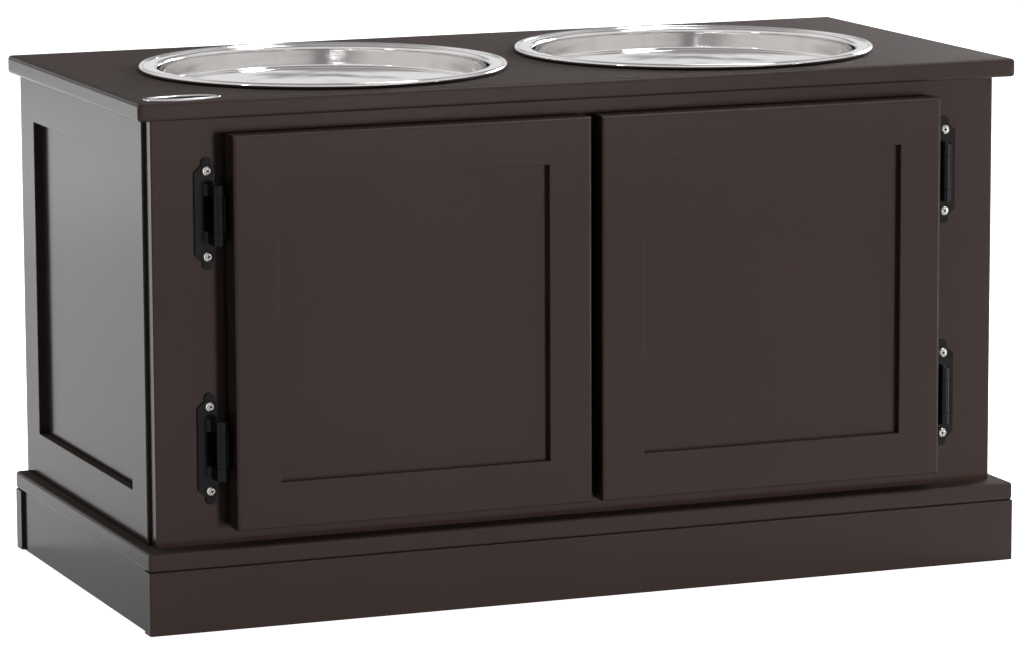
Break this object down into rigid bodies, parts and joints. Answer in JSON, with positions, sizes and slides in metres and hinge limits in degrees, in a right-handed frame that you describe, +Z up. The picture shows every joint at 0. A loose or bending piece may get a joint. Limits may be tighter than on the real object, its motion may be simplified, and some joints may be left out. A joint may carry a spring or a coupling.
{
  "type": "elevated dog feeder with storage",
  "caption": "Low cabinet feeder with framed doors on wrap hinges, a skirted plinth and lift-out steel bowls sunk in its top board.",
  "frame": {"origin": "on the floor under the middle of the whole object's footprint", "axes": "+X to the right seen from the doors, +Y to the back, +Z up; the doors face -Y"},
  "size_m": [0.6, 0.3, 0.3369],
  "materials": {
    "painted_board": "semi-gloss espresso brown paint on fibreboard",
    "bare_wood": "bare beech and pine",
    "bowl_steel": "polished stainless steel",
    "hinge_black": "black semi-gloss coated steel",
    "screw_nickel": "bright nickel plate",
    "badge_metal": "satin nickel, blank",
    "bumper_rubber": "matt rubber"
  },
  "bodies": {
    "cabinet": {"back_panel": "painted_board", "back_skirt": "painted_board", "badge": "badge_metal", "base_board": "painted_board", "cabinet_dowels": "bare_wood", "face_frame": "painted_board", "front_skirt": "painted_board", "hinge_frame_screws": "screw_nickel", "left_lower_hinge_frame_leaf": "hinge_black", "left_lower_hinge_pin": "hinge_black", "left_side_back_stile": "painted_board", "left_side_bottom_rail": "painted_board", "left_side_front_stile": "painted_board", "left_side_panel": "painted_board", "left_side_top_rail": "painted_board", "left_skirt": "painted_board", "left_upper_hinge_frame_leaf": "hinge_black", "left_upper_hinge_pin": "hinge_black", "plinth_corner_blocks": "bare_wood", "right_lower_hinge_frame_leaf": "hinge_black", "right_lower_hinge_pin": "hinge_black", "right_side_back_stile": "painted_board", "right_side_bottom_rail": "painted_board", "right_side_front_stile": "painted_board", "right_side_panel": "painted_board", "right_side_top_rail": "painted_board", "right_skirt": "painted_board", "right_upper_hinge_frame_leaf": "hinge_black", "right_upper_hinge_pin": "hinge_black", "top_board": "painted_board"},
    "left_door": {"left_door_bottom_rail": "painted_board", "left_door_bumpers": "bumper_rubber", "left_door_hinge_screws": "screw_nickel", "left_door_hinge_stile": "painted_board", "left_door_meeting_stile": "painted_board", "left_door_panel": "painted_board", "left_door_top_rail": "painted_board", "left_lower_hinge_door_leaf": "hinge_black", "left_upper_hinge_door_leaf": "hinge_black"},
    "right_door": {"right_door_bottom_rail": "painted_board", "right_door_bumpers": "bumper_rubber", "right_door_hinge_screws": "screw_nickel", "right_door_hinge_stile": "painted_board", "right_door_meeting_stile": "painted_board", "right_door_panel": "painted_board", "right_door_top_rail": "painted_board", "right_lower_hinge_door_leaf": "hinge_black", "right_upper_hinge_door_leaf": "hinge_black"},
    "left_bowl": {"left_bowl": "bowl_steel"},
    "right_bowl": {"right_bowl": "bowl_steel"}
  },
  "joints": [
    {"name": "left_door_hinge", "type": "hinge", "parent": "cabinet", "child": "left_door", "pos_m": [-0.2495, -0.1415, 0.187], "axis": [0, 0, -1], "range_deg": [0, 110], "stiffness_Nm_per_rad": 0.04, "springref_deg": -20.05},
    {"name": "right_door_hinge", "type": "hinge", "parent": "cabinet", "child": "right_door", "pos_m": [0.2495, -0.1415, 0.187], "axis": [0, 0, 1], "range_deg": [0, 110], "stiffness_Nm_per_rad": 0.04, "springref_deg": -20.05},
    {"name": "left_bowl_lift", "type": "slide", "parent": "cabinet", "child": "left_bowl", "axis": [0, 0, 1], "range_m": [0, 0.075]},
    {"name": "right_bowl_lift", "type": "slide", "parent": "cabinet", "child": "right_bowl", "axis": [0, 0, 1], "range_m": [0, 0.075]}
  ]
}
